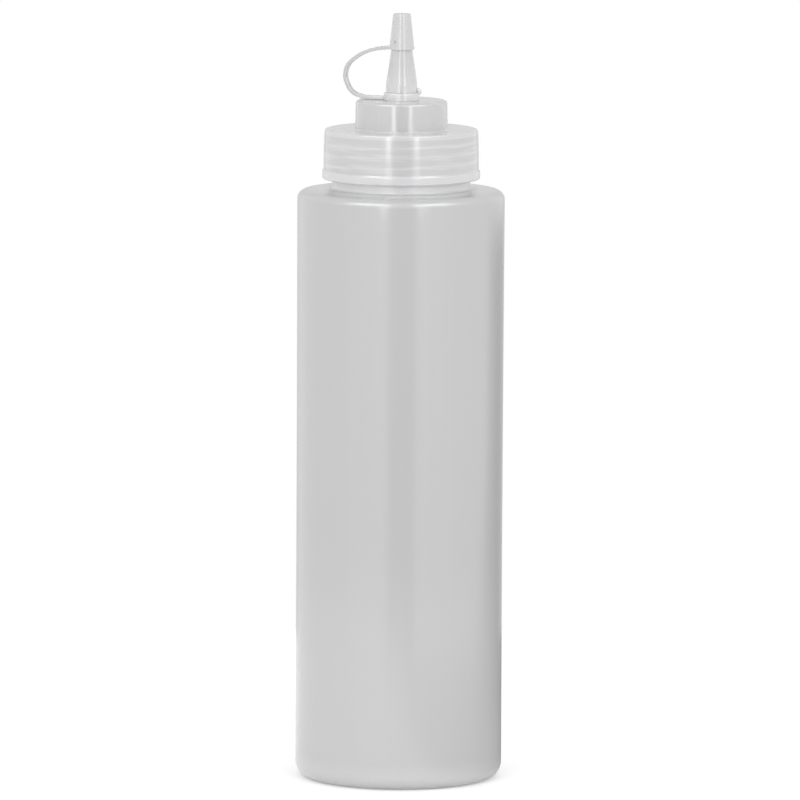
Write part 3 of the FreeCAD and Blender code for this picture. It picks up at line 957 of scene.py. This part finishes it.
def add_flag():
    """Flag of dark felt, upright beside the bottle; partly painted shade that only gloss shows."""
    mesh = bmesh.new()
    bmesh.ops.create_grid(mesh, x_segments=1, y_segments=1, size=0.5)
    place = (Matrix.Rotation(math.radians(FLAG_TURN), 4, "Z")
             @ Matrix.Translation((0, -FLAG_DISTANCE, FLAG_HEIGHT / 2))
             @ Matrix.Rotation(math.pi / 2, 4, "X") @ Matrix.Diagonal((FLAG_WIDTH, FLAG_HEIGHT, 1, 1)))
    bmesh.ops.transform(mesh, matrix=place, verts=mesh.verts)
    flag = sheet("flag", mesh, felt_material())
    flag.visible_camera = False
    flag.visible_diffuse = False
    flag.visible_shadow = False


def add_camera(look):
    """Camera in front of the bottle, looking slightly down."""
    data = bpy.data.cameras.new("camera")
    data.lens = look.camera_lens
    camera = link_object("camera", data)
    camera.location = (0, -look.camera_distance, look.camera_height)
    tilt = Matrix.Rotation(math.pi / 2 - look.camera_tilt, 3, "X")
    camera.rotation_euler = (tilt @ Matrix.Rotation(look.camera_roll, 3, "Z")).to_euler()
    bpy.context.scene.camera = camera


class SQUEEZE_BOTTLE_OT_bottle(bpy.types.Operator):
    """Build the blown bottle with its threaded neck"""
    bl_idname = "squeeze_bottle.bottle"
    bl_label = "Bottle"

    def execute(self, context):
        size = context.scene.squeeze_bottle.bottle
        thread = context.scene.squeeze_bottle.thread
        piece = threaded(
            "bottle_wall", bottle_outline(size), size.segments, blown_ldpe(size),
            thread, size.neck_radius, thread.depth, thread.start)
        show(piece, "bottle")
        return {"FINISHED"}


class SQUEEZE_BOTTLE_OT_screw_cap(bpy.types.Operator):
    """Build the screw cap with its thread, tier and nozzle"""
    bl_idname = "squeeze_bottle.screw_cap"
    bl_label = "Screw cap"

    def execute(self, context):
        settings = context.scene.squeeze_bottle
        size = settings.screw_cap
        thread = settings.thread
        start = thread.start + thread.pitch / 2
        outline = screw_cap_outline(size, settings.bottle.rim_height)
        piece = threaded(
            "screw_cap_wall", outline, size.segments, screw_cap_ldpe(size, thread, start),
            thread, size.skirt_bore, -thread.depth, start)
        show(piece, "screw_cap")
        return {"FINISHED"}


class SQUEEZE_BOTTLE_OT_tip_cap(bpy.types.Operator):
    """Build the tip cap with its tether, ring and lug"""
    bl_idname = "squeeze_bottle.tip_cap"
    bl_label = "Tip cap"

    def execute(self, context):
        settings = context.scene.squeeze_bottle
        size = settings.tip_cap
        tier_top = settings.screw_cap.tier_top
        wall_slope = (size.radius_rim - size.radius_top) / (size.top - size.rim)
        wall_radius = size.radius_rim - wall_slope * (DIMPLE_HEIGHT - size.rim)
        material = tip_cap_ldpe(size, (0, 0, tier_top + RING_HEIGHT / 2))
        outline = tip_cap_outline(size, settings.screw_cap)
        piece = settle(turned("tip_cap_wall", outline, size.segments, material))
        ring = settle(turned("ring", ring_outline(tier_top), size.segments, material))
        across = Matrix.Rotation(math.pi / 2, 4, "X")
        lug_place = Matrix.Translation((LUG_OUT, 0, tier_top + LUG_RISE)) @ across
        lug = round_bar("lug", LUG_RADIUS, LUG_WIDTH, lug_place, LUG_EDGE)
        bore_place = Matrix.Translation((0, 0, tier_top + LUG_RISE))
        join_solids(lug, [round_bar("ring_bore", RING_BORE, CUTTER_LENGTH, bore_place)], "DIFFERENCE")
        join_solids(piece, [ring, strap(size, material), lug], "UNION")
        out = wall_radius - DIMPLE_DEPTH + size.radius_rim / 2
        place = Matrix.Rotation(-DIMPLE_TURN, 4, "Z") @ Matrix.Translation((0, -out, DIMPLE_HEIGHT))
        dimple = round_bar("gate_mark", DIMPLE_RADIUS, size.radius_rim, place @ across)
        join_solids(piece, [dimple], "DIFFERENCE")
        show(settle(piece), "tip_cap")
        return {"FINISHED"}


class SQUEEZE_BOTTLE_OT_stage(bpy.types.Operator):
    """Set up the camera, the lamps, the surround and the floor"""
    bl_idname = "squeeze_bottle.stage"
    bl_label = "Stage"

    def execute(self, context):
        look = context.scene.squeeze_bottle.stage
        context.scene.view_settings.view_transform = "Standard"
        add_camera(look)
        surround(look)
        for azimuth, level in STRIPS:
            add_strip(azimuth, level * look.strip_brightness)
        add_flag()
        add_floor(look)
        return {"FINISHED"}


class SQUEEZE_BOTTLE_PT_sidebar(bpy.types.Panel):
    """Lists the pieces and the stage"""
    bl_label = "Squeeze Bottle"
    bl_space_type = "VIEW_3D"
    bl_region_type = "UI"
    bl_category = "Squeeze Bottle"

    def draw(self, context):
        settings = context.scene.squeeze_bottle
        for name, operator in SECTIONS.items():
            box = self.layout.box()
            group = getattr(settings, name)
            for prop in group.bl_rna.properties:
                if not prop.is_readonly and prop.identifier != "name":
                    box.prop(group, prop.identifier)
            if operator:
                box.operator(operator)


SECTIONS = {
    "thread": None,
    "bottle": SQUEEZE_BOTTLE_OT_bottle.bl_idname,
    "screw_cap": SQUEEZE_BOTTLE_OT_screw_cap.bl_idname,
    "tip_cap": SQUEEZE_BOTTLE_OT_tip_cap.bl_idname,
    "stage": SQUEEZE_BOTTLE_OT_stage.bl_idname,
}
CLASSES = (
    ThreadSettings, BottleSettings, ScrewCapSettings, TipCapSettings, StageSettings,
    SqueezeBottleSettings, SQUEEZE_BOTTLE_OT_bottle, SQUEEZE_BOTTLE_OT_screw_cap,
    SQUEEZE_BOTTLE_OT_tip_cap, SQUEEZE_BOTTLE_OT_stage, SQUEEZE_BOTTLE_PT_sidebar)


def register():
    """Register the classes and the settings."""
    for item in CLASSES:
        bpy.utils.register_class(item)
    bpy.types.Scene.squeeze_bottle = PointerProperty(type=SqueezeBottleSettings)


def unregister():
    """Remove the settings and the classes."""
    del bpy.types.Scene.squeeze_bottle
    for item in reversed(CLASSES):
        bpy.utils.unregister_class(item)


def main():
    """Build everything."""
    register()
    bpy.ops.squeeze_bottle.bottle()
    bpy.ops.squeeze_bottle.screw_cap()
    bpy.ops.squeeze_bottle.tip_cap()
    bpy.ops.squeeze_bottle.stage()


if __name__ == "__main__":
    main()
